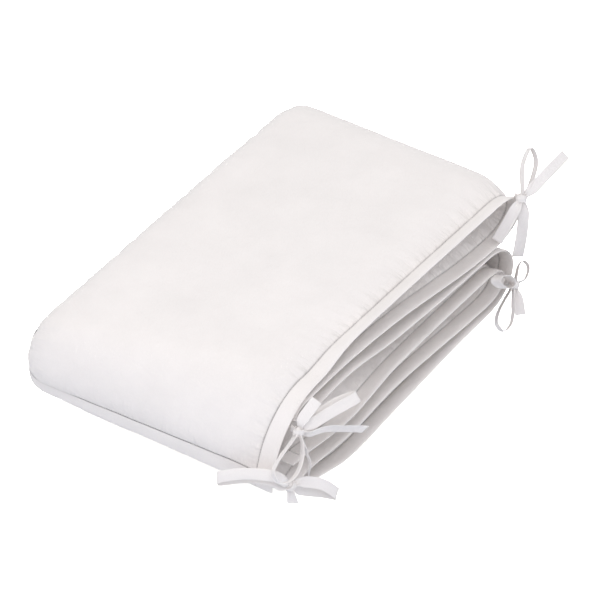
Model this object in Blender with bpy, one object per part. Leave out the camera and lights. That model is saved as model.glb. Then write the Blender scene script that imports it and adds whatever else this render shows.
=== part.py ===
"""A padded cot bumper: one long quilt-like strip, folded back and forth into a stack of six layers,
with four fabric ties knotted into bows at the two ends of its open long side.

The frame: +X runs along the folded length towards the two big folds, the flanged long side that
stays open faces -Y, and the stack rests on Z = 0. Lengths in the tables are centimetres.
"""

from collections import namedtuple
from math import cos, pi, radians, sin

import bmesh
import bpy
import numpy as np
from mathutils import Matrix, Vector

CM = 0.01  # the tables' unit, in metres

# ---------------------------------------------------------------- driving dimensions (cm)
STRIP_WIDTH = 38.5  # flat, flange to flange
FLANGE_WIDTH = 2.2  # the flat two-ply border outside the stitch line
FLANGE_HALF = 0.15  # half the thickness of the border
PUFF_RUN = 3.8  # how far inside the stitch line the padding reaches its full height
FRONT_Y = -17.5  # the open long side
LIFT_START = 0.8  # from here in from the front edge a layer leaves its wavy flange's height
LIFT_RUN = 6.5  # and from here on it lies at its padded body's height
DIP_RUN = 7.0  # how far in from the front edge the valley along the stitch line ends
DIP_NEAR_X = -22.0  # there is no valley nearer than this
DIP_FULL_X = -6.0  # and it has its full depth from here on
DROOP_START = 32.9  # flat distance from the front edge at which the back edge starts to hang
MIDDLE_X = 0.0  # where the layers' middle heights are
WAIST_X = -11.0  # where the flanges press closest together

# The layers from the top of the stack down. Heights are those of the layer's middle plane: of the
# padded body at the far fold, the middle and the near end, then of the front flange at the far
# fold, the middle, the waist and the near end. back_droop is the angle, in degrees, that the back
# edge hangs at, dip the depth of the valley along the front stitch line, outside which the flange
# tips up, and puff half the thickness of the padding.
Layer = namedtuple(
    "Layer",
    "far_z mid_z near_z far_edge mid_edge waist_edge near_edge back_droop dip puff",
)
LAYERS = {
    1: Layer(19.4, 19.5, 19.3, 19.4, 19.5, 19.2, 17.7, 80, 0.9, 1.10),
    2: Layer(14.1, 16.2, 15.4, 13.0, 15.8, 16.5, 16.3, 60, 0.2, 0.92),
    3: Layer(11.6, 13.4, 13.0, 12.2, 13.1, 14.4, 13.8, 50, 0.2, 0.92),
    4: Layer(8.6, 8.6, 8.2, 9.0, 8.5, 6.9, 8.0, 40, 0.3, 0.92),
    5: Layer(4.9, 5.2, 5.0, 4.5, 5.3, 4.4, 4.9, 20, 0.2, 0.92),
    6: Layer(1.15, 1.0, 1.15, 3.0, 1.6, 0.8, 2.5, 14, 0.0, 1.10),
}

# The strip's way through the stack, from the loose end that hangs over the near side of the top
# layer to the end that is tucked inside.
WAY = (1, 2, 3, 6, 5, 4)

# The folds, in the order of WAY: where each leaves its layers, how far its padded body and its
# flange then bulge, and the half thickness that the bend squeezes the padding to.
Fold = namedtuple("Fold", "start_x reach edge_reach puff")
FOLDS = (
    Fold(24.0, 5.7, 5.6, 0.95),
    Fold(-21.6, 1.6, 2.0, 0.70),
    Fold(22.0, 6.0, 5.8, 0.90),
    Fold(-20.6, 2.3, 2.6, 0.85),
    Fold(22.4, 2.9, 3.6, 0.85),
)

# The loose end over the near side, at the front and at the back: where it starts to fall, how far
# out it swings, how far down its edge ends, and the angle it has turned through by then.
Drape = namedtuple("Drape", "start_x reach end_z turn")
DRAPE_FRONT = Drape(-17.8, 11.0, 6.6, 92.0)
DRAPE_BACK = Drape(-28.8, 4.0, 11.1, 112.0)
DRAPE_EASE = 0.75  # under 1, the end takes its back shape soon after the front corner
TUCKED_END_X = -24.0

# Where the cross-sections are: how many in a layer, a fold and the drape, their shares of the last
# layer, whose end is sewn flat, and the lines across the strip in cm from its front edge.
RUN_STEPS = 9
FOLD_STEPS = 9
DRAPE_STEPS = 12
TUCKED_SHARES = (0.0, 0.12, 0.26, 0.42, 0.58, 0.72, 0.84, 0.90, 0.925, 0.9375, 1.0)
EDGE_STATIONS = (0.0, FLANGE_WIDTH, 2.7, 3.9, 6.4, 11.5)


# ---------------------------------------------------------------- driving dimensions of the ties
TIE_WIDTH = 1.5
TIE_THICK = 0.15
KNOT_HALF = (0.75, 0.6, 0.65)  # half sizes of a knot along X, Y and Z
KNOT_GRIP = 0.35  # how far from the knot's centre each strand's end is held
KNOT_DETAIL = 2  # subdivisions of the knot's icosphere
STEPS_BETWEEN = 3  # cross-sections between two points of a strand

PERCALE_WHITE = (0.86, 0.855, 0.845)
TIE_WHITE = (0.88, 0.875, 0.865)

# Where each bow's knot is.
KNOTS = {
    "tie_top_far": (27.9, -18.45, 18.7),
    "tie_low_far": (26.3, -18.6, 5.6),
    "tie_low_near": (-24.4, -18.6, 14.3),
    "tie_top_near": (-27.0, -19.1, 7.4),
}

# The bows lie about a plane that faces out from the near front corner and up. It is turned this
# many degrees from facing -Y towards -X, and tipped up by this many.
BOW_TURN = 56.0
BOW_TIP = 37.5

# The strands that leave each knot. A loop's points come back to the knot, and a tail's end free.
# The points are offsets from the knot: to the right in the bows' plane, up it, and out of it. wide
# is the direction, in the same three, that the tape's width runs in.
Strand = namedtuple("Strand", "tie form wide points")
STRANDS = (
    Strand("tie_top_far", "loop", (0.4, 0.0, 0.92), [
        (0.1, 1.8, 0.4), (0.1, 4.3, 0.6), (1.1, 6.6, 0.6), (1.9, 4.8, 0.2), (1.2, 1.9, 0.0)]),
    Strand("tie_top_far", "tail", (-0.72, 0.7, 0.1), [(1.2, 1.0, 0.5), (3.2, 3.1, 0.4), (5.8, 5.8, 0.0)]),
    Strand("tie_top_far", "tail", (0.87, -0.5, 0.1), [
        (-0.7, -1.2, 0.7), (-1.8, -3.2, 0.2), (-3.2, -5.6, -0.8)]),
    Strand("tie_top_far", "loop", (1.0, 0.0, 0.1), [
        (0.3, -2.0, -0.3), (0.1, -4.8, -2.2), (-0.3, -7.2, -4.2), (-0.3, -7.3, -5.1),
        (0.1, -4.8, -3.6), (0.3, -2.0, -1.5)]),
    Strand("tie_low_far", "loop", (0.25, 0.1, 0.95), [
        (0.2, 1.0, 0.1), (0.5, 2.4, 0.2), (1.2, 3.1, 0.2), (1.9, 2.3, 0.1), (1.5, 0.8, 0.0)]),
    Strand("tie_low_far", "loop", (0.9, 0.0, 0.42), [
        (-0.9, 1.0, 2.8), (-2.1, 1.1, 5.2), (-2.5, 0.3, 5.6), (-1.3, -0.5, 3.0)]),
    Strand("tie_low_far", "loop", (0.3, 0.1, 0.95), [
        (-1.0, -1.6, 0.4), (-2.1, -3.6, 0.6), (-2.3, -5.2, 0.8), (-1.4, -6.1, 0.9),
        (-0.5, -5.2, 0.7), (-0.2, -3.6, 0.4), (-0.2, -1.6, 0.1)]),
    Strand("tie_low_far", "tail", (0.9, 0.2, 0.4), [(0.5, -1.7, -0.2), (0.9, -4.0, -0.8)]),
    Strand("tie_low_near", "tail", (0.8, -0.6, 0.1), [(0.4, 1.4, 0.8), (2.3, 4.0, 0.6)]),
    Strand("tie_low_near", "loop", (-0.5, 0.85, 0.2), [
        (1.6, 0.9, -0.4), (4.6, 2.7, -2.4), (7.0, 4.0, -4.4), (7.3, 4.4, -5.3),
        (4.6, 3.4, -4.2), (1.6, 1.4, -1.7)]),
    Strand("tie_low_near", "tail", (0.1, 0.5, 0.85), [
        (1.5, -0.3, -0.6), (3.6, 0.3, -2.0), (6.0, 0.3, -3.8), (8.5, 0.2, -6.0)]),
    Strand("tie_low_near", "loop", (0.3, 0.0, 0.95), [
        (-1.1, -1.6, 1.2), (-2.5, -3.5, 2.6), (-3.2, -5.2, 3.6), (-2.5, -6.4, 4.0),
        (-1.3, -6.3, 3.6), (-0.2, -5.1, 2.6), (0.4, -3.4, 1.5), (0.4, -1.6, 0.5)]),
    Strand("tie_low_near", "tail", (0.2, 0.1, 0.97), [
        (0.9, -2.4, -0.8), (1.4, -4.0, -1.6), (1.2, -5.4, -2.4)]),
    Strand("tie_top_near", "loop", (0.0, 1.0, 0.1), [
        (-1.2, 0.9, 2.4), (-2.6, 1.4, 4.2), (-6.0, 1.6, 3.6), (-8.9, 1.2, 2.6), (-9.2, 0.9, 1.8),
        (-8.7, 0.8, 1.4), (-6.0, 1.1, 1.9), (-2.8, 0.9, 3.1), (-1.2, 0.1, 1.3)]),
    Strand("tie_top_near", "loop", (0.3, 0.95, 0.0), [
        (1.5, 0.5, -0.2), (3.9, 0.2, -1.6), (5.6, -0.8, -3.4), (5.8, -1.2, -4.5),
        (4.1, -0.9, -4.1), (1.7, -0.6, -2.3)]),
    Strand("tie_top_near", "tail", (0.9, 0.1, 0.4), [(0.1, -1.1, -0.2), (0.3, -2.2, -0.8)]),
)


# ---------------------------------------------------------------- the strip
def smooth_step(value, low, high):
    """0 below low, 1 above high, and an even S between."""
    share = min(max((value - low) / (high - low), 0.0), 1.0)
    return share * share * (3.0 - 2.0 * share)


def curve_through(x, knots):
    """The height at x on a smooth curve through (x, z) knots that is level at its two ends."""
    knots = sorted(knots)
    slopes = [0.0]
    for before, after in zip(knots, knots[2:]):
        slopes.append((after[1] - before[1]) / (after[0] - before[0]))
    slopes.append(0.0)
    for (x0, z0), (x1, z1), m0, m1 in zip(knots, knots[1:], slopes, slopes[1:]):
        if x <= x1 or (x1, z1) == knots[-1]:
            span = x1 - x0
            t = min(max((x - x0) / span, 0.0), 1.0)
            return (
                (2 * t**3 - 3 * t**2 + 1) * z0
                + (t**3 - 2 * t**2 + t) * span * m0
                + (3 * t**2 - 2 * t**3) * z1
                + (t**3 - t**2) * span * m1
            )
    return knots[-1][1]


def layer_knots(layer, start_x, end_x, edge):
    """The layer's heights between its two folds: of the front flange, or of the padded body."""
    far_x, near_x = max(start_x, end_x), min(start_x, end_x)
    if edge:
        return [
            (far_x, layer.far_edge),
            (MIDDLE_X, layer.mid_edge),
            (WAIST_X, layer.waist_edge),
            (near_x, layer.near_edge),
        ]
    return [(far_x, layer.far_z), (MIDDLE_X, layer.mid_z), (near_x, layer.near_z)]


def section(edge, drape):
    """The strip's section along its length: rows of x, z, the way in x and z that an edge hangs,
    its droop, the dip along the front stitch line, and the padding's half thickness."""
    rows = []
    first = LAYERS[WAY[0]]
    top_z = first.near_edge if edge else first.near_z
    depth = (top_z - drape.end_z) / (1.0 - cos(radians(drape.turn)))
    for turn in np.linspace(radians(drape.turn), 0.0, DRAPE_STEPS)[:-1]:
        x = drape.start_x - drape.reach * sin(turn)
        z = top_z - depth * (1.0 - cos(turn))
        rows.append((x, z, sin(turn), -cos(turn), first.back_droop, 0.0, first.puff))
    x = drape.start_x
    for index, number in enumerate(WAY):
        layer = LAYERS[number]
        last = index == len(FOLDS)
        fold = None if last else FOLDS[index]
        end_x = TUCKED_END_X if last else fold.start_x
        knots = layer_knots(layer, x, end_x, edge)
        shares = TUCKED_SHARES if last else np.linspace(0.0, 1.0, RUN_STEPS + 1)
        for share in shares:
            along = x + (end_x - x) * share
            height = curve_through(along, knots)
            dip = layer.dip * smooth_step(along, DIP_NEAR_X, DIP_FULL_X)
            rows.append((along, height, 0.0, -1.0, layer.back_droop, dip, layer.puff))
        if last:
            break
        other = LAYERS[WAY[index + 1]]
        far = fold.start_x > MIDDLE_X
        if edge:
            ends = ("far_edge" if far else "near_edge")
        else:
            ends = ("far_z" if far else "near_z")
        heights = (getattr(layer, ends), getattr(other, ends))
        centre = 0.5 * (heights[0] + heights[1])
        half = 0.5 * (heights[0] - heights[1])
        reach = fold.edge_reach if edge else fold.reach
        side = 1.0 if far else -1.0
        for turn in np.linspace(0.0, pi, FOLD_STEPS + 1)[1:-1]:
            share = turn / pi
            bulge_x = fold.start_x + side * reach * sin(turn)
            height = centre + half * cos(turn)
            droop = layer.back_droop + (other.back_droop - layer.back_droop) * share
            dip = layer.dip + (other.dip - layer.dip) * share if far else 0.0
            loose = layer.puff + (other.puff - layer.puff) * share
            puff = loose + (fold.puff - loose) * sin(turn)
            rows.append((bulge_x, height, 0.0, -1.0, droop, dip, puff))
        x = fold.start_x
    return np.array(rows)


def padding(inside):
    """The share of the padding's full height at a distance inside the stitch line."""
    if inside <= 0.0:
        return 0.0
    share = min(inside / PUFF_RUN, 1.0)
    return (1.0 - (1.0 - share) ** 2) ** 0.5


def middle_surface():
    """Points of the strip's middle surface, as [station along][station across], and its puff."""
    body_front = section(False, DRAPE_FRONT)
    body_back = section(False, DRAPE_BACK)
    edge_front = section(True, DRAPE_FRONT)
    across = list(EDGE_STATIONS) + [STRIP_WIDTH / 2]
    across += [STRIP_WIDTH - value for value in reversed(EDGE_STATIONS)]
    steps = np.linalg.norm(np.diff(0.5 * (body_front + body_back)[:, :2], axis=0), axis=1)
    along = np.concatenate([[0.0], np.cumsum(steps)])
    points, halves = [], []
    for index, front_row in enumerate(body_front):
        line, half_line = [], []
        for flat in across:
            share = (flat / STRIP_WIDTH) ** DRAPE_EASE
            row = front_row + (body_back[index] - front_row) * share
            x, z, fall_x, fall_z, droop, dip, puff = row
            follow = 1.0 - smooth_step(flat, LIFT_START, LIFT_RUN)
            x += (edge_front[index][0] - front_row[0]) * follow
            z += (edge_front[index][1] - front_row[1]) * follow
            valley = dip * smooth_step(flat, 0.0, FLANGE_WIDTH)
            valley *= 1.0 - smooth_step(flat, FLANGE_WIDTH, DIP_RUN)
            x += fall_x * valley
            z += fall_z * valley
            hang = max(flat - DROOP_START, 0.0)
            y = FRONT_Y + min(flat, DROOP_START)
            if hang > 0.0:
                bend = radians(droop) * hang / (STRIP_WIDTH - DROOP_START)
                y += hang * sin(bend) / bend
                down = hang * (1.0 - cos(bend)) / bend
                x += fall_x * down
                z += fall_z * down
            line.append((x, y, z))
            inside = min(flat, STRIP_WIDTH - flat) - FLANGE_WIDTH
            inside_end = min(along[index], along[-1] - along[index]) - FLANGE_WIDTH
            fill = padding(inside) * padding(inside_end)
            half_line.append(FLANGE_HALF + (puff - FLANGE_HALF) * fill)
        points.append(line)
        halves.append(half_line)
    return np.array(points), np.array(halves)


def normals_of(points):
    """The unit normal of a grid of points at each of them."""
    along = np.gradient(points, axis=0)
    across = np.gradient(points, axis=1)
    normals = np.cross(along, across)
    return normals / np.linalg.norm(normals, axis=2, keepdims=True)


def strip_mesh(name):
    points, halves = middle_surface()
    offset = normals_of(points) * halves[:, :, None]
    upper, lower = points + offset, points - offset
    for face in (upper, lower):
        face[:, :, 2] = np.maximum(face[:, :, 2], 0.0)
    mesh = bmesh.new()
    upper_rows = [[mesh.verts.new(Vector(p) * CM) for p in row] for row in upper]
    lower_rows = [[mesh.verts.new(Vector(p) * CM) for p in row] for row in lower]
    count, width = len(upper_rows), len(upper_rows[0])
    for i in range(count - 1):
        for j in range(width - 1):
            for rows, turned in ((upper_rows, False), (lower_rows, True)):
                corners = [rows[i][j], rows[i + 1][j], rows[i + 1][j + 1], rows[i][j + 1]]
                mesh.faces.new(corners[::-1] if turned else corners)
        for j in (0, width - 1):
            top, bottom = upper_rows[i : i + 2], lower_rows[i : i + 2]
            mesh.faces.new([top[0][j], top[1][j], bottom[1][j], bottom[0][j]])
    for i in (0, count - 1):
        top, bottom = upper_rows[i], lower_rows[i]
        for j in range(width - 1):
            mesh.faces.new([top[j], top[j + 1], bottom[j + 1], bottom[j]])
    bmesh.ops.recalc_face_normals(mesh, faces=mesh.faces)
    data = bpy.data.meshes.new(name)
    mesh.to_mesh(data)
    mesh.free()
    data.shade_smooth()
    return data


# ---------------------------------------------------------------- the ties
def smooth_route(points):
    """Points on a smooth curve through the given ones, evenly shared between each pair."""
    points = [Vector(p) for p in points]
    padded = [2 * points[0] - points[1], *points, 2 * points[-1] - points[-2]]
    route = []
    for before, start, end, after in zip(padded, padded[1:], padded[2:], padded[3:]):
        for step in range(STEPS_BETWEEN):
            t = step / STEPS_BETWEEN
            route.append(
                0.5
                * (
                    2 * start
                    + (end - before) * t
                    + (2 * before - 5 * start + 4 * end - after) * t**2
                    + (3 * start - before - 3 * end + after) * t**3
                )
            )
    return [*route, points[-1]]


def bow_axes():
    """A matrix from the bows' right, up and out to X, Y and Z."""
    turn, tip = radians(BOW_TURN), radians(BOW_TIP)
    right = Vector((cos(turn), -sin(turn), 0.0))
    out = Vector((-sin(turn) * cos(tip), -cos(turn) * cos(tip), sin(tip)))
    return Matrix((right, out.cross(right), out)).transposed()


def tape_mesh(name, points, wide):
    """A flat tape along a smooth route, TIE_WIDTH across and TIE_THICK through."""
    route = smooth_route(points)
    mesh = bmesh.new()
    rings = []
    for index, centre in enumerate(route):
        ahead = route[min(index + 1, len(route) - 1)] - route[max(index - 1, 0)]
        through = ahead.cross(wide).normalized()
        across = through.cross(ahead).normalized()
        ring = []
        for side, face in ((1, 1), (-1, 1), (-1, -1), (1, -1)):
            corner = centre + across * (side * TIE_WIDTH / 2) + through * (face * TIE_THICK / 2)
            ring.append(mesh.verts.new(corner * CM))
        rings.append(ring)
    for ring, following in zip(rings, rings[1:]):
        for i in range(4):
            j = (i + 1) % 4
            mesh.faces.new([ring[i], ring[j], following[j], following[i]])
    mesh.faces.new(rings[0])
    mesh.faces.new(rings[-1][::-1])
    bmesh.ops.recalc_face_normals(mesh, faces=mesh.faces)
    data = bpy.data.meshes.new(name)
    mesh.to_mesh(data)
    mesh.free()
    return data


def knot_mesh(name, centre):
    mesh = bmesh.new()
    size = Matrix.Diagonal((*(Vector(KNOT_HALF) * CM), 1.0))
    place = Matrix.Translation(Vector(centre) * CM) @ size
    bmesh.ops.create_icosphere(mesh, subdivisions=KNOT_DETAIL, radius=1.0, matrix=place)
    data = bpy.data.meshes.new(name)
    mesh.to_mesh(data)
    mesh.free()
    data.shade_smooth()
    return data


def add_tie(name, centre, material):
    """One tape, knotted: its loops and free ends joined to its knot."""
    tie = bpy.data.objects.new(name, knot_mesh(name, centre))
    tie.data.materials.append(material)
    bpy.context.scene.collection.objects.link(tie)
    own = [strand for strand in STRANDS if strand.tie == name]
    axes = bow_axes()
    for index, strand in enumerate(own):
        knot = Vector(centre)
        points = [knot + axes @ Vector(offset) for offset in strand.points]
        ends = [points[0], points[-1]] if strand.form == "loop" else [points[0]]
        inside = [knot + (end - knot).normalized() * KNOT_GRIP for end in ends]
        route = [inside[0], *points, *inside[1:]]
        label = f"{name}_{strand.form}_{index}"
        tape = bpy.data.objects.new(label, tape_mesh(label, route, axes @ Vector(strand.wide)))
        tape.hide_render = True
        tape.display_type = "WIRE"
        bpy.context.scene.collection.objects.link(tape)
        join = tie.modifiers.new(label, "BOOLEAN")
        join.operation = "UNION"
        join.solver = "EXACT"
        join.use_self = True
        join.object = tape
    return tie


def cloth_material(name, colour):
    material = bpy.data.materials.new(name)
    material.use_nodes = True
    shader = material.node_tree.nodes["Principled BSDF"]
    shader.inputs["Base Color"].default_value = (*colour, 1.0)
    shader.inputs["Roughness"].default_value = 0.9
    shader.inputs["Metallic"].default_value = 0.0
    return material


def clear_scene():
    for obj in list(bpy.data.objects):
        bpy.data.objects.remove(obj, do_unlink=True)


def centre_over_origin(base):
    """Moves the whole part so that the middle of its base is at the origin."""
    bpy.context.view_layer.update()
    graph = bpy.context.evaluated_depsgraph_get()
    corners = []
    for obj in base.children:
        if not obj.hide_render:
            evaluated = obj.evaluated_get(graph)
            corners += [evaluated.matrix_world @ Vector(corner) for corner in evaluated.bound_box]
    for axis in (0, 1):
        values = [corner[axis] for corner in corners]
        base.location[axis] = -0.5 * (min(values) + max(values))


def main():
    clear_scene()
    base = bpy.data.objects.new("base", None)
    bpy.context.scene.collection.objects.link(base)
    bumper = bpy.data.objects.new("bumper", strip_mesh("bumper"))
    bumper.data.materials.append(cloth_material("percale", PERCALE_WHITE))
    bpy.context.scene.collection.objects.link(bumper)
    tape_cloth = cloth_material("tie_percale", TIE_WHITE)
    for name, centre in KNOTS.items():
        add_tie(name, centre, tape_cloth)
    for obj in bpy.data.objects:
        if obj != base:
            obj.parent = base
    centre_over_origin(base)


main()
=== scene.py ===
"""The looks of a folded, padded cot bumper in white cotton percale, with four tied fabric bows.

The strip and its ties repeat the part's own layout, in centimetres in the part's drawing frame, and
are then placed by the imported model's boxes. Everything that Blender holds is in metres.
"""

from collections import namedtuple
from math import cos, pi, radians, sin, sqrt

import bpy
import numpy as np
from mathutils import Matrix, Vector, noise


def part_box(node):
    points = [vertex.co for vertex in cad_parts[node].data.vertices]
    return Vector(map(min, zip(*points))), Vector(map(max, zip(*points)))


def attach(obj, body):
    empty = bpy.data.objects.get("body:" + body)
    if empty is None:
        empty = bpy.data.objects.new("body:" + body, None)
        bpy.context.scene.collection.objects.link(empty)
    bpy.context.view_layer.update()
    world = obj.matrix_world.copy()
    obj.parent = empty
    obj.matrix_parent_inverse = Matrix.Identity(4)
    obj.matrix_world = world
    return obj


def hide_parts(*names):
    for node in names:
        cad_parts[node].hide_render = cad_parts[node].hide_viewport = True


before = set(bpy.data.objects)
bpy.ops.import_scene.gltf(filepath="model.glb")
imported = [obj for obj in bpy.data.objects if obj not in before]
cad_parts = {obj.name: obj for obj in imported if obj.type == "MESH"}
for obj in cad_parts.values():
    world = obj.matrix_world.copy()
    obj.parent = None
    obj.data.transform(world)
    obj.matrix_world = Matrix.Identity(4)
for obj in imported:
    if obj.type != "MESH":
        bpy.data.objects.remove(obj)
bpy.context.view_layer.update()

CM = 0.01

# ---------------------------------------------------------------- the strip, as the part has it
STRIP_WIDTH = 38.5
FLANGE_WIDTH = 2.2
FLANGE_HALF = 0.13
PUFF_RUN = 3.8
FRONT_Y = -17.5
LIFT_START = 0.8
LIFT_RUN = 6.5
DIP_RUN = 7.0
DIP_NEAR_X = -22.0
DIP_FULL_X = -6.0
DROOP_START = 32.9
MIDDLE_X = 0.0
WAIST_X = -11.0

Layer = namedtuple(
    "Layer",
    "far_z mid_z near_z far_edge mid_edge waist_edge near_edge back_droop dip puff steps",
)
LAYERS = {
    1: Layer(19.4, 19.5, 19.3, 19.4, 19.5, 19.2, 17.7, 80, 0.9, 1.10, 120),
    2: Layer(14.1, 16.2, 15.4, 13.0, 15.8, 16.5, 16.3, 60, 0.2, 0.92, 95),
    3: Layer(11.6, 13.4, 13.0, 12.2, 13.1, 14.4, 13.8, 50, 0.2, 0.92, 95),
    4: Layer(8.6, 8.6, 8.2, 9.0, 8.5, 6.9, 8.0, 40, 0.3, 0.92, 95),
    5: Layer(4.9, 5.2, 5.0, 4.5, 5.3, 4.4, 4.9, 20, 0.2, 0.92, 95),
    6: Layer(1.15, 1.0, 1.15, 3.0, 1.6, 0.8, 2.5, 14, 0.0, 1.10, 95),
}
WAY = (1, 2, 3, 6, 5, 4)
Fold = namedtuple("Fold", "start_x reach edge_reach puff steps")
FOLDS = (
    Fold(24.0, 5.7, 5.6, 0.95, 26),
    Fold(-21.6, 1.6, 2.0, 0.70, 14),
    Fold(22.0, 6.0, 5.8, 0.90, 34),
    Fold(-20.6, 2.3, 2.6, 0.85, 16),
    Fold(22.4, 2.9, 3.6, 0.85, 18),
)
Drape = namedtuple("Drape", "start_x reach end_z turn")
DRAPE_FRONT = Drape(-17.8, 11.0, 6.6, 92.0)
DRAPE_BACK = Drape(-28.8, 4.0, 11.1, 112.0)
DRAPE_EASE = 0.75
DRAPE_STEPS = 48
TUCKED_END_X = -24.0


def smooth_step(value, low, high):
    share = np.clip((value - low) / (high - low), 0.0, 1.0)
    return share * share * (3.0 - 2.0 * share)


def curve_through(x, knots):
    knots = sorted(knots)
    slopes = [0.0]
    for before, after in zip(knots, knots[2:]):
        slopes.append((after[1] - before[1]) / (after[0] - before[0]))
    slopes.append(0.0)
    for (x0, z0), (x1, z1), m0, m1 in zip(knots, knots[1:], slopes, slopes[1:]):
        if x <= x1 or (x1, z1) == knots[-1]:
            span = x1 - x0
            t = min(max((x - x0) / span, 0.0), 1.0)
            return (
                (2 * t**3 - 3 * t**2 + 1) * z0
                + (t**3 - 2 * t**2 + t) * span * m0
                + (3 * t**2 - 2 * t**3) * z1
                + (t**3 - t**2) * span * m1
            )
    return knots[-1][1]


def layer_knots(layer, start_x, end_x, edge):
    far_x, near_x = max(start_x, end_x), min(start_x, end_x)
    if edge:
        return [
            (far_x, layer.far_edge),
            (MIDDLE_X, layer.mid_edge),
            (WAIST_X, layer.waist_edge),
            (near_x, layer.near_edge),
        ]
    return [(far_x, layer.far_z), (MIDDLE_X, layer.mid_z), (near_x, layer.near_z)]


def section(edge, drape):
    """The strip's section along its length: rows of x, z, the way in x and z that an edge hangs,
    its droop, the dip along the front stitch line, and the padding's half thickness."""
    rows = []
    first = LAYERS[WAY[0]]
    top_z = first.near_edge if edge else first.near_z
    depth = (top_z - drape.end_z) / (1.0 - cos(radians(drape.turn)))
    for turn in np.linspace(radians(drape.turn), 0.0, DRAPE_STEPS)[:-1]:
        x = drape.start_x - drape.reach * sin(turn)
        z = top_z - depth * (1.0 - cos(turn))
        rows.append((x, z, sin(turn), -cos(turn), first.back_droop, 0.0, first.puff))
    x = drape.start_x
    for index, number in enumerate(WAY):
        layer = LAYERS[number]
        last = index == len(FOLDS)
        fold = None if last else FOLDS[index]
        end_x = TUCKED_END_X if last else fold.start_x
        knots = layer_knots(layer, x, end_x, edge)
        for share in np.linspace(0.0, 1.0, layer.steps + 1):
            along = x + (end_x - x) * share
            z = curve_through(along, knots)
            dip = layer.dip * smooth_step(along, DIP_NEAR_X, DIP_FULL_X)
            rows.append((along, z, 0.0, -1.0, layer.back_droop, dip, layer.puff))
        if last:
            break
        other = LAYERS[WAY[index + 1]]
        far = fold.start_x > MIDDLE_X
        if edge:
            ends = "far_edge" if far else "near_edge"
        else:
            ends = "far_z" if far else "near_z"
        heights = (getattr(layer, ends), getattr(other, ends))
        centre = 0.5 * (heights[0] + heights[1])
        half = 0.5 * (heights[0] - heights[1])
        reach = fold.edge_reach if edge else fold.reach
        side = 1.0 if far else -1.0
        for turn in np.linspace(0.0, pi, fold.steps + 1)[1:-1]:
            share = turn / pi
            droop = layer.back_droop + (other.back_droop - layer.back_droop) * share
            dip = layer.dip + (other.dip - layer.dip) * share if far else 0.0
            loose = layer.puff + (other.puff - layer.puff) * share
            puff = loose + (fold.puff - loose) * sin(turn)
            bulge = fold.start_x + side * reach * sin(turn)
            rows.append((bulge, centre + half * cos(turn), 0.0, -1.0, droop, dip, puff))
        x = fold.start_x
    return np.array(rows)


# ---------------------------------------------------------------- fine surface of the strip (cm)
ALONG_PITCH = 0.34
SMOOTH_PITCH = 0.25
SMOOTH_WIDTH = 0.8
GATHER_RUN = 1.5
DITCH_HALF_WIDTH = 0.07
DITCH_SHARE = 0.72
WIDE_SWELL = 0.10
SMALL_SWELL = 0.04
BORDER_RIPPLE = 0.035
Crease = namedtuple("Crease", "line pitch depth length seed")
CREASES = (
    Crease("side", 1.6, 0.26, 1.3, 0.0),
    Crease("side", 3.6, 0.30, 2.8, 4.4),
    Crease("end", 2.2, 0.26, 2.0, 8.8),
    Crease("end", 4.4, 0.42, 4.0, 12.2),
)
NEAR_STITCH = (0.0, 0.06, 0.2, 0.6, 1.1, 1.6, 2.0, 2.12, 2.2, 2.28, 2.38, 2.55, 2.8, 3.15, 3.6)
FRONT_STATIONS = NEAR_STITCH + (4.1, 4.7, 5.4, 6.2, 7.1, 8.2, 9.6, 11.5, 13.5, 15.5, 17.5, 19.5)
BACK_STATIONS = (0.0, 0.06, 0.4, 1.2, 2.12, 2.2, 2.28, 2.6, 3.1, 3.9, 5.1, 6.7, 8.7, 11.0, 13.5, 16.2)


def smoothed(values, along, width):
    """The rows averaged over a bell of this width along their own length, ends kept."""
    even = np.linspace(0.0, along[-1], int(along[-1] / SMOOTH_PITCH))
    read = np.stack([np.interp(even, along, values[:, c]) for c in range(values.shape[1])], axis=1)
    reach = int(3 * width / SMOOTH_PITCH)
    bell = np.exp(-0.5 * (np.arange(-reach, reach + 1) * SMOOTH_PITCH / width) ** 2)
    bell /= bell.sum()
    result = np.empty_like(read)
    for c in range(read.shape[1]):
        line = read[:, c]
        before = 2 * line[0] - line[reach:0:-1]
        after = 2 * line[-1] - line[-2 : -reach - 2 : -1]
        result[:, c] = np.convolve(np.concatenate([before, line, after]), bell, mode="valid")
    return even, result


def fine_sections():
    """The three smoothed sections that the strip is blended from, at the same stations."""
    named = {
        "front": section(False, DRAPE_FRONT),
        "back": section(False, DRAPE_BACK),
        "edge": section(True, DRAPE_FRONT),
    }
    middle = 0.5 * (named["front"] + named["back"])
    steps = np.linalg.norm(np.diff(middle[:, :2], axis=0), axis=1)
    along = np.concatenate([[0.0], np.cumsum(steps)])
    ready = {key: smoothed(rows, along, SMOOTH_WIDTH) for key, rows in named.items()}
    length = along[-1]
    ends = np.array(NEAR_STITCH)
    inner = np.arange(ends[-1] + ALONG_PITCH, length - ends[-1], ALONG_PITCH)
    stations = np.concatenate([ends, inner, length - ends[::-1]])
    read = {}
    for key, (even, rows) in ready.items():
        columns = [np.interp(stations, even, rows[:, c]) for c in range(rows.shape[1])]
        read[key] = np.stack(columns, axis=1)
    return stations, length, read


def soft_noise(x, y, seed):
    """Smooth noise from -1 to 1 over arrays of places, the same each run."""
    flat_x, flat_y = np.broadcast_arrays(x, y)
    out = [noise.noise(Vector((a, b, seed))) for a, b in zip(flat_x.ravel(), flat_y.ravel())]
    return np.array(out).reshape(flat_x.shape)


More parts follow.
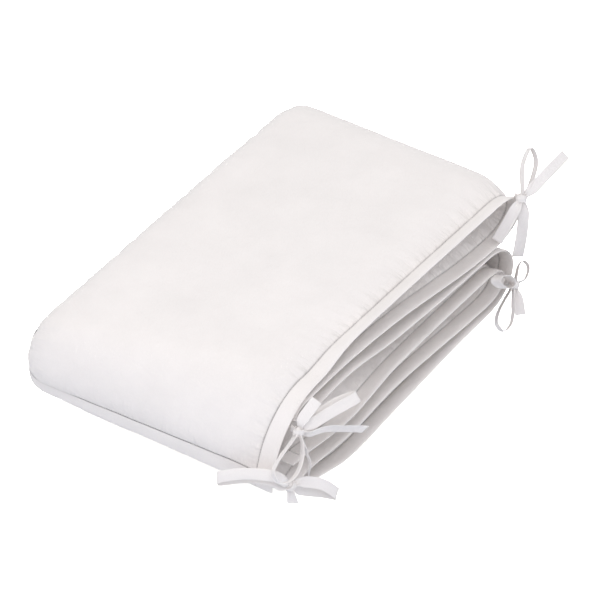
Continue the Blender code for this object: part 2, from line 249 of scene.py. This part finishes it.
def creases(along, inside, pitch, depth, length, seed):
    """Narrow valleys that start at a stitch line and die away inside it, pitch apart."""
    wander = soft_noise(along / 9.0, inside * 0.0, seed + 3.1)
    lines = soft_noise(along / pitch, inside * 0.16 + wander, seed)
    valley = np.exp(-((lines / 0.26) ** 2))
    strength = np.clip(0.55 + 1.1 * soft_noise(along / 7.0, inside * 0.0 + 5.0, seed + 9.7), 0.05, 1.4)
    fade = np.exp(-np.clip(inside, 0.0, None) / length) * (1.0 - np.exp(-np.clip(inside, 0.0, None) / 0.12))
    return -depth * strength * valley * fade


def strip_grid():
    """Middle points, half thickness and stitch distances of the strip, as arrays [along][across]."""
    stations, length, read = fine_sections()
    across = np.array(sorted(set(FRONT_STATIONS) | {STRIP_WIDTH - value for value in BACK_STATIONS}))
    front, back, edge = read["front"], read["back"], read["edge"]
    share = (across / STRIP_WIDTH) ** DRAPE_EASE
    rows = front[:, None, :] * (1.0 - share)[None, :, None] + back[:, None, :] * share[None, :, None]
    x, z, fall_x, fall_z, droop, dip, puff = np.moveaxis(rows, 2, 0)
    follow = 1.0 - smooth_step(across, LIFT_START, LIFT_RUN)
    x = x + (edge[:, 0] - front[:, 0])[:, None] * follow
    z = z + (edge[:, 1] - front[:, 1])[:, None] * follow
    valley = dip * smooth_step(across, 0.0, FLANGE_WIDTH)
    valley *= 1.0 - smooth_step(across, FLANGE_WIDTH, DIP_RUN)
    x = x + fall_x * valley
    z = z + fall_z * valley
    hang = np.clip(across - DROOP_START, 0.0, None)[None, :]
    bend = np.radians(droop) * hang / (STRIP_WIDTH - DROOP_START) + 1e-9
    y = FRONT_Y + np.minimum(across, DROOP_START)[None, :] + hang * np.sin(bend) / bend
    down = hang * (1.0 - np.cos(bend)) / bend
    x = x + fall_x * down
    z = z + fall_z * down
    middle = np.stack([x, y, z], axis=2)

    side = np.minimum(across, STRIP_WIDTH - across)[None, :] + stations[:, None] * 0.0
    end = np.minimum(stations, length - stations)[:, None] + across[None, :] * 0.0
    inside_side, inside_end = side - FLANGE_WIDTH, end - FLANGE_WIDTH
    fill = padding(inside_side) * padding(inside_end)
    half = FLANGE_HALF + (puff - FLANGE_HALF) * fill
    return stations, across, middle, half, inside_side, inside_end


def padding(inside):
    """The share of the padding's full height at a distance inside the stitch line."""
    share = np.clip(inside / PUFF_RUN, 0.0, 1.0)
    return np.sqrt(1.0 - (1.0 - share) ** 2)


def gather_fade(inside):
    """How strongly the seam gathers the cloth at a distance inside the stitch line."""
    return np.exp(-np.clip(inside, 0.0, None) / GATHER_RUN) * (inside > -0.03)


def normals_of(points):
    along = np.gradient(points, axis=0)
    across = np.gradient(points, axis=1)
    normals = np.cross(along, across)
    return normals / np.linalg.norm(normals, axis=2, keepdims=True)


def strip_faces():
    """The strip's upper and lower faces in table centimetres, with its creases and ditches."""
    stations, across, middle, half, inside_side, inside_end = strip_grid()
    s, v = stations[:, None], across[None, :]
    normals = normals_of(middle)
    ditch = np.exp(-((inside_side / DITCH_HALF_WIDTH) ** 2)) * (inside_end > -0.1)
    ditch = np.maximum(ditch, np.exp(-((inside_end / DITCH_HALF_WIDTH) ** 2)) * (inside_side > -0.1))
    rim = np.clip((np.minimum(inside_side, inside_end) + FLANGE_WIDTH) / 0.12, 0.35, 1.0)
    half = half * rim
    half = half * (1.0 - DITCH_SHARE * ditch)
    faces = []
    for sign, seed in ((1.0, 1.7), (-1.0, 31.3)):
        relief = 0.0
        for row in CREASES:
            place, inside = (s, inside_side) if row.line == "side" else (v, inside_end)
            relief = relief + creases(place, inside, row.pitch, row.depth, row.length, seed + row.seed)
        inner = (inside_side > 0.0) & (inside_end > 0.0)
        swell = WIDE_SWELL * soft_noise(s / 11.0, v / 9.0, seed + 20.0)
        swell += SMALL_SWELL * soft_noise(s / 4.0, v / 3.5, seed + 23.0)
        fill = padding(inside_side) * padding(inside_end)
        relief = np.where(inner, relief, 0.0) + swell * fill
        ripple = BORDER_RIPPLE * soft_noise(s / 2.6, v / 2.6, 77.0) * (1.0 - fill)
        thick = np.maximum(half + relief, 0.03)
        face = middle + normals * (sign * thick + ripple)[:, :, None]
        face[:, :, 2] = np.maximum(face[:, :, 2], 0.0)
        faces.append(face)
    return stations, across, faces, ditch, inside_side, inside_end


def mesh_object(name, vertices, faces, smooth=True):
    data = bpy.data.meshes.new(name)
    data.from_pydata([tuple(v) for v in vertices], [], [tuple(f) for f in faces])
    data.validate()
    data.update()
    if smooth:
        data.shade_smooth()
    obj = bpy.data.objects.new(name, data)
    bpy.context.scene.collection.objects.link(obj)
    return obj


def strip_object(name, shift, surface):
    """The strip as one closed mesh, with its flat places, its gathers and its stitch ditch mask (where
    shade is painted) stored on it.
    """
    stations, across, (upper, lower), ditch, inside_side, inside_end = surface
    rows, columns = len(stations), len(across)
    count = rows * columns
    vertices = np.concatenate([upper.reshape(-1, 3), lower.reshape(-1, 3)]) * CM + shift
    index = np.arange(count).reshape(rows, columns)
    top = np.stack([index[:-1, :-1], index[1:, :-1], index[1:, 1:], index[:-1, 1:]], axis=2).reshape(-1, 4)
    bottom = top[:, ::-1] + count
    loop = np.concatenate([index[:-1, 0], index[-1, :-1], index[:0:-1, -1], index[0, :0:-1]])
    following = np.roll(loop, -1)
    rim = np.stack([following, loop, loop + count, following + count], axis=1)
    obj = mesh_object(name, vertices, np.concatenate([top, bottom, rim]))
    flat = np.stack(np.broadcast_arrays(stations[:, None] * CM, across[None, :] * CM, 0.0), axis=2)
    flat = np.concatenate([flat.reshape(-1, 3), flat.reshape(-1, 3)])
    store(obj, "flat", "FLOAT_VECTOR", "vector", flat)
    # The third value is the stitch ditch mask, along which the material paints shade into the colour.
    gathers = np.stack([gather_fade(inside_side), gather_fade(inside_end), ditch], axis=2)
    gathers = np.concatenate([gathers.reshape(-1, 3), gathers.reshape(-1, 3)])
    store(obj, "gathers", "FLOAT_VECTOR", "vector", gathers)
    return obj


def store(obj, name, kind, field, values):
    attribute = obj.data.attributes.new(name, kind, "POINT")
    attribute.data.foreach_set(field, np.ascontiguousarray(values, np.float32).ravel())


def stitching_object(name, shift, stations, across, upper, lower):
    """Short raised threads along the stitch lines of both faces."""
    front = np.argmin(np.abs(across - FLANGE_WIDTH))
    back = np.argmin(np.abs(across - (STRIP_WIDTH - FLANGE_WIDTH)))
    start = np.argmin(np.abs(stations - FLANGE_WIDTH))
    end = np.argmin(np.abs(stations - (stations[-1] - FLANGE_WIDTH)))
    vertices, faces = [], []
    for face, other in ((upper, lower), (lower, upper)):
        outward = face - other
        outward /= np.linalg.norm(outward, axis=2, keepdims=True)
        lines = [
            (face[start : end + 1, front], outward[start : end + 1, front]),
            (face[start : end + 1, back], outward[start : end + 1, back]),
            (face[start, front : back + 1], outward[start, front : back + 1]),
            (face[end, front : back + 1], outward[end, front : back + 1]),
        ]
        for line, out in lines:
            add_threads(vertices, faces, line + out * THREAD_LIFT, out)
    return mesh_object(name, np.array(vertices) * CM + shift, faces)


STITCH_PITCH = 0.34
STITCH_LENGTH = 0.27
THREAD_RADIUS = 0.028
THREAD_LIFT = 0.012
THREAD_RINGS = ((0.0, 0.35), (0.2, 1.0), (0.8, 1.0), (1.0, 0.35))
THREAD_SIDES = 5


def add_threads(vertices, faces, line, outward):
    """Adds one closed spindle a stitch along this line."""
    steps = np.linalg.norm(np.diff(line, axis=0), axis=1)
    along = np.concatenate([[0.0], np.cumsum(steps)])
    for begin in np.arange(0.0, along[-1] - STITCH_LENGTH, STITCH_PITCH):
        ring_start = len(vertices)
        ends = [read_line(line, along, begin), read_line(line, along, begin + STITCH_LENGTH)]
        up = read_line(outward, along, begin + 0.5 * STITCH_LENGTH)
        ahead = ends[1] - ends[0]
        side = np.cross(ahead, up)
        side /= np.linalg.norm(side)
        for share, swell in THREAD_RINGS:
            centre = ends[0] + ahead * share - up * THREAD_RADIUS * (1.0 - swell)
            for turn in np.linspace(0.0, 2.0 * pi, THREAD_SIDES, endpoint=False):
                radius = THREAD_RADIUS * swell
                vertices.append(centre + side * radius * cos(turn) + up * radius * sin(turn))
        for ring in range(len(THREAD_RINGS) - 1):
            for i in range(THREAD_SIDES):
                j = (i + 1) % THREAD_SIDES
                low, high = ring_start + ring * THREAD_SIDES, ring_start + (ring + 1) * THREAD_SIDES
                faces.append((low + i, low + j, high + j, high + i))
        last = ring_start + (len(THREAD_RINGS) - 1) * THREAD_SIDES
        faces.append(tuple(ring_start + i for i in reversed(range(THREAD_SIDES))))
        faces.append(tuple(last + i for i in range(THREAD_SIDES)))


def read_line(line, along, at):
    return np.array([np.interp(at, along, line[:, c]) for c in range(3)])


# ---------------------------------------------------------------- the ties, as the part has them (cm)
TIE_WIDTH = 1.5
TIE_HALF = 0.055
KNOT_HALF = (0.75, 0.6, 0.65)
KNOT_GRIP = 0.35
KNOT_TAPE = 9.0
TAPE_PITCH = 0.18
TAPE_COLUMNS = np.array([-1.0, -0.94, -0.8, -0.55, -0.28, 0.0, 0.28, 0.55, 0.8, 0.94, 1.0])
KNOTS = {
    "tie_top_far": (27.9, -18.45, 18.7),
    "tie_low_far": (26.3, -18.6, 5.6),
    "tie_low_near": (-24.4, -18.6, 14.3),
    "tie_top_near": (-27.0, -19.1, 7.4),
}

BOW_TURN = 56.0
BOW_TIP = 37.5

Strand = namedtuple("Strand", "tie form wide points")
STRANDS = (
    Strand("tie_top_far", "loop", (0.4, 0.0, 0.92), [
        (0.1, 1.8, 0.4), (0.1, 4.3, 0.6), (1.1, 6.6, 0.6), (1.9, 4.8, 0.2), (1.2, 1.9, 0.0)]),
    Strand("tie_top_far", "tail", (-0.72, 0.7, 0.1), [(1.2, 1.0, 0.5), (3.2, 3.1, 0.4), (5.8, 5.8, 0.0)]),
    Strand("tie_top_far", "tail", (0.87, -0.5, 0.1), [
        (-0.7, -1.2, 0.7), (-1.8, -3.2, 0.2), (-3.2, -5.6, -0.8)]),
    Strand("tie_top_far", "loop", (1.0, 0.0, 0.1), [
        (0.3, -2.0, -0.3), (0.1, -4.8, -2.2), (-0.3, -7.2, -4.2), (-0.3, -7.3, -5.1),
        (0.1, -4.8, -3.6), (0.3, -2.0, -1.5)]),
    Strand("tie_low_far", "loop", (0.25, 0.1, 0.95), [
        (0.2, 1.0, 0.1), (0.5, 2.4, 0.2), (1.2, 3.1, 0.2), (1.9, 2.3, 0.1), (1.5, 0.8, 0.0)]),
    Strand("tie_low_far", "loop", (0.9, 0.0, 0.42), [
        (-0.9, 1.0, 2.8), (-2.1, 1.1, 5.2), (-2.5, 0.3, 5.6), (-1.3, -0.5, 3.0)]),
    Strand("tie_low_far", "loop", (0.3, 0.1, 0.95), [
        (-1.0, -1.6, 0.4), (-2.1, -3.6, 0.6), (-2.3, -5.2, 0.8), (-1.4, -6.1, 0.9),
        (-0.5, -5.2, 0.7), (-0.2, -3.6, 0.4), (-0.2, -1.6, 0.1)]),
    Strand("tie_low_far", "tail", (0.9, 0.2, 0.4), [(0.5, -1.7, -0.2), (0.9, -4.0, -0.8)]),
    Strand("tie_low_near", "tail", (0.8, -0.6, 0.1), [(0.4, 1.4, 0.8), (2.3, 4.0, 0.6)]),
    Strand("tie_low_near", "loop", (-0.5, 0.85, 0.2), [
        (1.6, 0.9, -0.4), (4.6, 2.7, -2.4), (7.0, 4.0, -4.4), (7.3, 4.4, -5.3),
        (4.6, 3.4, -4.2), (1.6, 1.4, -1.7)]),
    Strand("tie_low_near", "tail", (0.1, 0.5, 0.85), [
        (1.5, -0.3, -0.6), (3.6, 0.3, -2.0), (6.0, 0.3, -3.8), (8.5, 0.2, -6.0)]),
    Strand("tie_low_near", "loop", (0.3, 0.0, 0.95), [
        (-1.1, -1.6, 1.2), (-2.5, -3.5, 2.6), (-3.2, -5.2, 3.6), (-2.5, -6.4, 4.0),
        (-1.3, -6.3, 3.6), (-0.2, -5.1, 2.6), (0.4, -3.4, 1.5), (0.4, -1.6, 0.5)]),
    Strand("tie_low_near", "tail", (0.2, 0.1, 0.97), [
        (0.9, -2.4, -0.8), (1.4, -4.0, -1.6), (1.2, -5.4, -2.4)]),
    Strand("tie_top_near", "loop", (0.0, 1.0, 0.1), [
        (-1.2, 0.9, 2.4), (-2.6, 1.4, 4.2), (-6.0, 1.6, 3.6), (-8.9, 1.2, 2.6), (-9.2, 0.9, 1.8),
        (-8.7, 0.8, 1.4), (-6.0, 1.1, 1.9), (-2.8, 0.9, 3.1), (-1.2, 0.1, 1.3)]),
    Strand("tie_top_near", "loop", (0.3, 0.95, 0.0), [
        (1.5, 0.5, -0.2), (3.9, 0.2, -1.6), (5.6, -0.8, -3.4), (5.8, -1.2, -4.5),
        (4.1, -0.9, -4.1), (1.7, -0.6, -2.3)]),
    Strand("tie_top_near", "tail", (0.9, 0.1, 0.4), [(0.1, -1.1, -0.2), (0.3, -2.2, -0.8)]),
)


def smooth_route(points, pitch):
    """Points at an even pitch on a smooth curve through the given ones."""
    points = [np.array(p, float) for p in points]
    padded = [2 * points[0] - points[1], *points, 2 * points[-1] - points[-2]]
    route = []
    for before, start, end, after in zip(padded, padded[1:], padded[2:], padded[3:]):
        for t in np.linspace(0.0, 1.0, 16, endpoint=False):
            route.append(
                0.5
                * (
                    2 * start
                    + (end - before) * t
                    + (2 * before - 5 * start + 4 * end - after) * t**2
                    + (3 * start - before - 3 * end + after) * t**3
                )
            )
    route = np.array([*route, points[-1]])
    steps = np.linalg.norm(np.diff(route, axis=0), axis=1)
    along = np.concatenate([[0.0], np.cumsum(steps)])
    at = np.linspace(0.0, along[-1], max(int(along[-1] / pitch), 4) + 1)
    even = np.stack([np.interp(at, along, route[:, c]) for c in range(3)], axis=1)
    return even, at


def bow_axes():
    """The bows' right, up and out as the rows of a matrix."""
    turn, tip = radians(BOW_TURN), radians(BOW_TIP)
    right = np.array((cos(turn), -sin(turn), 0.0))
    out = np.array((-sin(turn) * cos(tip), -cos(turn) * cos(tip), sin(tip)))
    return np.array((right, np.cross(out, right), out))


def add_tape(parts, route, along, wide, pinched_end, seed):
    """Adds one closed band along the route: gathered where a knot pinches it, softly cupped."""
    vertices, faces, marks = parts
    count = len(route)
    ring_size = 2 * len(TAPE_COLUMNS)
    first = len(vertices)
    length = along[-1]
    for index in range(count):
        ahead = route[min(index + 1, count - 1)] - route[max(index - 1, 0)]
        ahead /= np.linalg.norm(ahead)
        through = np.cross(ahead, wide)
        through /= np.linalg.norm(through)
        side = np.cross(through, ahead)
        loose = smooth_step(along[index], -0.4, 1.9)
        if pinched_end:
            loose *= smooth_step(length - along[index], -0.4, 1.9)
        width = TIE_WIDTH / 2 * (0.42 + 0.58 * loose)
        cup = 0.10 * noise.noise(Vector((along[index] * 0.35, seed, 0.0))) + 0.05
        for sign in (1.0, -1.0):
            for u in TAPE_COLUMNS * sign:
                rumple = 0.05 * noise.noise(Vector((along[index] * 0.9, u * 1.3, seed + 7.0)))
                pleat = 0.17 * (1.0 - loose) * cos(pi * 2.6 * u + seed)
                round_edge = sqrt(max(1.0 - abs(u) ** 6, 0.0)) * 0.7 + 0.3
                rise = cup * (u * u - 0.35) + pleat + rumple + sign * TIE_HALF * round_edge
                vertices.append(route[index] + side * (u * width) + through * rise)
                marks.append((along[index] * CM, u * TIE_WIDTH / 2 * CM, seed * 0.37))
    for index in range(count - 1):
        low, high = first + index * ring_size, first + (index + 1) * ring_size
        for i in range(ring_size):
            j = (i + 1) % ring_size
            faces.append((low + i, low + j, high + j, high + i))
    last = first + (count - 1) * ring_size
    half = len(TAPE_COLUMNS)
    for base, turned in ((first, True), (last, False)):
        for i in range(half - 1):
            face = (base + i, base + i + 1, base + ring_size - 2 - i, base + ring_size - 1 - i)
            faces.append(face[::-1] if turned else face)


def tie_object(name, shift):
    """One tape tied in a bow: loops and tails out of a creased, wrapped knot."""
    parts = ([], [], [])
    knot = np.array(KNOTS[name])
    flat_length = KNOT_TAPE
    own = [strand for strand in STRANDS if strand.tie == name]
    axes = bow_axes()
    for index, strand in enumerate(own):
        points = [knot + np.array(offset) @ axes for offset in strand.points]
        ends = [points[0], points[-1]] if strand.form == "loop" else [points[0]]
        inside = [knot + (end - knot) / np.linalg.norm(end - knot) * KNOT_GRIP for end in ends]
        route, along = smooth_route([inside[0], *points, *inside[1:]], TAPE_PITCH)
        seed = 3.7 * index + knot[2]
        add_tape(parts, route, along, np.array(strand.wide) @ axes, strand.form == "loop", seed)
        flat_length += along[-1]
    root = [knot + (0.0, 0.2, 0.0), knot + (0.0, 0.8, 0.0), (knot[0], FRONT_Y + 0.15, knot[2])]
    route, along = smooth_route(root, TAPE_PITCH)
    add_tape(parts, route, along, np.array((0.0, 0.0, 1.0)), False, knot[0])
    add_knot(parts, knot, np.array(own[0].points[0]) @ axes)
    vertices, faces, marks = parts
    obj = mesh_object(name + "_bow", np.array(vertices) * CM + shift, faces)
    store(obj, "tape", "FLOAT_VECTOR", "vector", np.array(marks))
    return obj, flat_length * CM


KNOT_RINGS = 14
KNOT_SIDES = 22
WRAP_STEPS = 30


def add_knot(parts, knot, leaving):
    """Adds a creased core and the turn of tape that goes round it."""
    vertices, faces, marks = parts
    axis = leaving / np.linalg.norm(leaving)
    first_side = np.cross(axis, (0.0, 1.0, 0.0))
    first_side /= np.linalg.norm(first_side)
    second_side = np.cross(axis, first_side)
    size = np.array(KNOT_HALF)
    first = len(vertices)
    for i in range(KNOT_RINGS + 1):
        slope = pi * i / KNOT_RINGS
        for j in range(KNOT_SIDES):
            turn = 2 * pi * j / KNOT_SIDES
            way = axis * cos(slope) + (first_side * cos(turn) + second_side * sin(turn)) * sin(slope)
            crease = 0.10 * abs(noise.noise(Vector(way * 1.7 + knot))) + 0.04 * cos(5 * turn)
            vertices.append(knot + way * size * (0.96 - crease))
            marks.append((slope * 0.01, turn * 0.002, 0.0))
    for i in range(KNOT_RINGS):
        for j in range(KNOT_SIDES):
            a, b = first + i * KNOT_SIDES + j, first + i * KNOT_SIDES + (j + 1) % KNOT_SIDES
            faces.append((a, a + KNOT_SIDES, b + KNOT_SIDES, b))
    turns = np.linspace(0.0, 2 * pi, WRAP_STEPS + 1)
    route = np.array([
        knot + (first_side * cos(t) + second_side * sin(t)) * size
        for t in turns
    ])
    wrap_first = len(vertices)
    for index, t in enumerate(turns[:-1]):
        out = first_side * cos(t) + second_side * sin(t)
        for sign in (1.0, -1.0):
            for u in TAPE_COLUMNS * sign:
                fold = 0.06 * cos(pi * 2.2 * u + 0.8 * sin(t)) - 0.16 * u * u
                rise = fold + sign * TIE_HALF
                centre = route[index] + axis * (u * 0.48 + 0.08 * sin(t * 2))
                vertices.append(centre + out * (rise + 0.05))
                marks.append((t * 0.006, u * 0.0075, 0.5))
    ring_size = 2 * len(TAPE_COLUMNS)
    for index in range(WRAP_STEPS):
        low = wrap_first + index * ring_size
        high = wrap_first + ((index + 1) % WRAP_STEPS) * ring_size
        for i in range(ring_size):
            j = (i + 1) % ring_size
            faces.append((low + i, low + j, high + j, high + i))


# ---------------------------------------------------------------- materials
def node(tree, kind, **values):
    made = tree.nodes.new(kind)
    for name, value in values.items():
        if hasattr(made, name):
            setattr(made, name, value)
        else:
            made.inputs[name.replace("_", " ")].default_value = value
    return made


def weave_height(tree, place, pitch):
    """A plain weave's height: two crossing sets of threads that pass over and under."""
    links = tree.links
    split = node(tree, "ShaderNodeSeparateXYZ")
    links.new(place, split.inputs[0])
    threads = []
    for axis in (0, 1):
        scaled = node(tree, "ShaderNodeMath", operation="MULTIPLY")
        scaled.inputs[1].default_value = pi / pitch
        links.new(split.outputs[axis], scaled.inputs[0])
        wave = node(tree, "ShaderNodeMath", operation="SINE")
        links.new(scaled.outputs[0], wave.inputs[0])
        threads.append(wave.outputs[0])
    crossed = node(tree, "ShaderNodeMath", operation="MULTIPLY")
    links.new(threads[0], crossed.inputs[0])
    links.new(threads[1], crossed.inputs[1])
    return crossed.outputs[0]


PERCALE_COLOURS = ((0.82, 0.778, 0.745), (0.88, 0.835, 0.80))
TIE_COLOURS = ((0.82, 0.78, 0.75), (0.88, 0.837, 0.805))
# Painted shade: the shadow in the stitch ditches is painted into the cloth's colour with this colour and
# share.
DITCH_SHADOW_COLOUR = (0.16, 0.15, 0.14, 1.0)
THREAD_PITCH = 0.00032
GATHER_DEPTH = 0.009
GATHER_STRETCH = ((80.0, 22.0, 1.0), (22.0, 80.0, 1.0))
DITCH_SHADE = 0.5


def gather_height(tree, place, fades):
    """Fine gathers square to each stitch line: their height, and the stitch ditch mask that sets where
    shade is painted.
    """
    links = tree.links
    parts = node(tree, "ShaderNodeSeparateXYZ")
    links.new(fades, parts.inputs[0])
    total = None
    for index, stretch in enumerate(GATHER_STRETCH):
        scaled = node(tree, "ShaderNodeVectorMath", operation="MULTIPLY")
        links.new(place, scaled.inputs[0])
        scaled.inputs[1].default_value = stretch
        folds = node(tree, "ShaderNodeTexNoise", Scale=1.0, Detail=2.0, Roughness=0.5)
        links.new(scaled.outputs[0], folds.inputs["Vector"])
        height = node(tree, "ShaderNodeMath", operation="MULTIPLY")
        links.new(folds.outputs["Fac"], height.inputs[0])
        links.new(parts.outputs[index], height.inputs[1])
        if total is None:
            total = height.outputs[0]
            continue
        both = node(tree, "ShaderNodeMath", operation="ADD")
        links.new(total, both.inputs[0])
        links.new(height.outputs[0], both.inputs[1])
        total = both.outputs[0]
    return total, parts.outputs[2]


def shaded(tree, colour, ditch):
    """The colour with a painted shadow along the stitch line, where the thread pulls the cloth into a
    ditch.
    """
    share = node(tree, "ShaderNodeMath", operation="MULTIPLY")
    tree.links.new(ditch, share.inputs[0])
    share.inputs[1].default_value = DITCH_SHADE
    mix = node(tree, "ShaderNodeMix", data_type="RGBA")
    tree.links.new(share.outputs[0], mix.inputs[0])
    tree.links.new(colour, mix.inputs[6])
    mix.inputs[7].default_value = DITCH_SHADOW_COLOUR
    return mix.outputs[2]


def cloth_material(name, colours, place_name, weave_pitch, crease_scale, crease_depth, gathered):
    """White cotton: a fine weave, soft rumples and slightly uneven whiteness; when gathered, also seam
    gathers and a painted shadow along the stitch ditches.
    """
    material = bpy.data.materials.new(name)
    material.use_nodes = True
    tree = material.node_tree
    links = tree.links
    shader = tree.nodes["Principled BSDF"]
    shader.inputs["Roughness"].default_value = 0.88
    shader.inputs["Sheen Weight"].default_value = 0.12
    shader.inputs["Sheen Roughness"].default_value = 0.5
    shader.inputs["Specular IOR Level"].default_value = 0.25
    place = node(tree, "ShaderNodeAttribute", attribute_name=place_name).outputs["Vector"]
    body = node(tree, "ShaderNodeTexCoord").outputs["Object"]

    clouds = node(tree, "ShaderNodeTexNoise", Scale=14.0, Detail=3.0, Roughness=0.6)
    links.new(body, clouds.inputs["Vector"])
    slubs = node(tree, "ShaderNodeTexNoise", Scale=420.0, Detail=2.0, Roughness=0.5)
    links.new(place, slubs.inputs["Vector"])
    blend = node(tree, "ShaderNodeMath", operation="MULTIPLY_ADD")
    links.new(slubs.outputs["Fac"], blend.inputs[0])
    blend.inputs[1].default_value = 0.35
    links.new(clouds.outputs["Fac"], blend.inputs[2])
    ramp = node(tree, "ShaderNodeValToRGB")
    ramp.color_ramp.elements[0].position = 0.35
    ramp.color_ramp.elements[1].position = 0.95
    for element, colour in zip(ramp.color_ramp.elements, colours):
        element.color = (*colour, 1.0)
    links.new(blend.outputs[0], ramp.inputs["Fac"])
    colour = ramp.outputs["Color"]

    rumple = node(tree, "ShaderNodeTexNoise", Scale=crease_scale, Detail=5.0, Roughness=0.62)
    rumple.inputs["Distortion"].default_value = 0.6
    links.new(body, rumple.inputs["Vector"])
    soft = node(tree, "ShaderNodeBump", Strength=0.6, Distance=crease_depth)
    links.new(rumple.outputs["Fac"], soft.inputs["Height"])
    below = soft
    if gathered:
        below = node(tree, "ShaderNodeBump", Strength=1.0, Distance=GATHER_DEPTH)
        fades = node(tree, "ShaderNodeAttribute", attribute_name="gathers").outputs["Vector"]
        height, ditch = gather_height(tree, place, fades)
        links.new(height, below.inputs["Height"])
        links.new(soft.outputs["Normal"], below.inputs["Normal"])
        # Painted shade: the cloth's colour darkens along the stitch ditches.
        colour = shaded(tree, colour, ditch)
    links.new(colour, shader.inputs["Base Color"])
    threads = node(tree, "ShaderNodeBump", Strength=0.35, Distance=0.00005)
    links.new(weave_height(tree, place, weave_pitch), threads.inputs["Height"])
    links.new(below.outputs["Normal"], threads.inputs["Normal"])
    links.new(threads.outputs["Normal"], shader.inputs["Normal"])
    return material


def floor_material():
    material = bpy.data.materials.new("floor_white")
    material.use_nodes = True
    shader = material.node_tree.nodes["Principled BSDF"]
    shader.inputs["Base Color"].default_value = (0.93, 0.912, 0.87, 1.0)
    shader.inputs["Roughness"].default_value = 1.0
    shader.inputs["Specular IOR Level"].default_value = 0.0
    return material


# ---------------------------------------------------------------- floor, light and camera
def add_floor():
    """A wide pale floor that takes shadows and gives no bounce."""
    size = 12.0
    corners = [(-size, -size, 0.0), (size, -size, 0.0), (size, size, 0.0), (-size, size, 0.0)]
    floor = mesh_object("floor", corners, [(0, 1, 2, 3)], smooth=False)
    floor.data.materials.append(floor_material())
    # The dome's lower half stands in for the floor's bounce, so that the floor can be over-lit.
    floor.visible_diffuse = False
    return floor


def aim(obj, target):
    obj.rotation_mode = "QUATERNION"
    obj.rotation_quaternion = (Vector(target) - obj.location).to_track_quat("-Z", "Y")


def add_area_light(name, place, target, size, power, colour=(1.0, 1.0, 1.0), only=None):
    data = bpy.data.lights.new(name, "AREA")
    data.shape = "DISK"
    data.size = size
    data.energy = power
    data.color = colour
    light = bpy.data.objects.new(name, data)
    light.location = Vector(place)
    aim(light, target)
    bpy.context.scene.collection.objects.link(light)
    if only is not None:
        lit = bpy.data.collections.new(name + "_lit")
        lit.objects.link(only)
        light.light_linking.receiver_collection = lit


SKY_TINT = (0.855, 0.90, 1.0)


def add_world(strength, shares):
    """A white dome: its shares of the strength are for below, the horizon and overhead."""
    world = bpy.data.worlds.new("studio")
    bpy.context.scene.world = world
    world.use_nodes = True
    tree = world.node_tree
    background = tree.nodes["Background"]
    background.inputs["Strength"].default_value = strength
    way = node(tree, "ShaderNodeTexCoord").outputs["Generated"]
    split = node(tree, "ShaderNodeSeparateXYZ")
    tree.links.new(way, split.inputs[0])
    height = node(tree, "ShaderNodeMath", operation="MULTIPLY_ADD")
    tree.links.new(split.outputs["Z"], height.inputs[0])
    height.inputs[1].default_value = 0.5
    height.inputs[2].default_value = 0.5
    ramp = node(tree, "ShaderNodeValToRGB")
    below, overhead = ramp.color_ramp.elements
    below.position, overhead.position = 0.35, 0.9
    horizon = ramp.color_ramp.elements.new(0.52)
    for element, share in zip((below, horizon, overhead), shares):
        element.color = (*(share * part for part in SKY_TINT), 1.0)
    tree.links.new(height.outputs[0], ramp.inputs["Fac"])
    tree.links.new(ramp.outputs["Color"], background.inputs["Color"])


VIEW_AZIMUTH = -56.0
VIEW_ELEVATION = 37.46
VIEW_DISTANCE = 10.0
VIEW_WIDTH = 0.782
SENSOR_WIDTH = 36.0
LOOKED_AT = (3.0, -0.31, 10.0)


def add_camera(shift):
    turn, rise = radians(VIEW_AZIMUTH), radians(VIEW_ELEVATION)
    back = Vector((sin(turn) * cos(rise), -cos(turn) * cos(rise), sin(rise)))
    target = Vector(LOOKED_AT) * CM + Vector(shift)
    data = bpy.data.cameras.new("camera")
    data.sensor_width = SENSOR_WIDTH
    data.lens = SENSOR_WIDTH * VIEW_DISTANCE / VIEW_WIDTH
    data.clip_start, data.clip_end = 0.5, 60.0
    camera = bpy.data.objects.new("camera", data)
    camera.location = target + back * VIEW_DISTANCE
    aim(camera, target)
    bpy.context.scene.collection.objects.link(camera)
    bpy.context.scene.camera = camera


# ---------------------------------------------------------------- the scene
def main():
    low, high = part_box("bumper")
    surface = strip_faces()
    stations, across, (upper, lower) = surface[:3]
    both = np.concatenate([upper.reshape(-1, 3), lower.reshape(-1, 3)])
    shift = np.array((low + high) / 2) - (both.min(0) + both.max(0)) / 2 * CM
    shift[2] = 0.0
    percale = cloth_material("percale", PERCALE_COLOURS, "flat", THREAD_PITCH, 60.0, 0.0022, True)
    tape_cloth = cloth_material("tie_percale", TIE_COLOURS, "tape", THREAD_PITCH, 160.0, 0.0010, False)
    strip = strip_object("bumper_cloth", shift, surface)
    strip.data.materials.append(percale)
    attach(strip, "root")
    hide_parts("bumper")
    threads = stitching_object("topstitching", shift, stations, across, upper, lower)
    threads.data.materials.append(tape_cloth)
    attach(threads, "root")
    for name in KNOTS:
        tie, flat_length = tie_object(name, shift)
        tie.data.materials.append(tape_cloth)
        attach(tie, "root")
        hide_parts(name)
    floor = add_floor()
    add_world(0.97, (0.94, 0.90, 0.90))
    add_area_light("softbox", (-1.2, -0.9, 1.9), (0.0, 0.0, 0.1), 1.5, 11.0, (1.0, 1.0, 1.1))
    add_area_light("floor_light", (-0.3, -0.3, 1.6), (0.0, 0.0, 0.0), 5.0, 480.0, only=floor)
    add_camera(shift)
    bpy.context.scene.view_settings.view_transform = "Standard"


main()
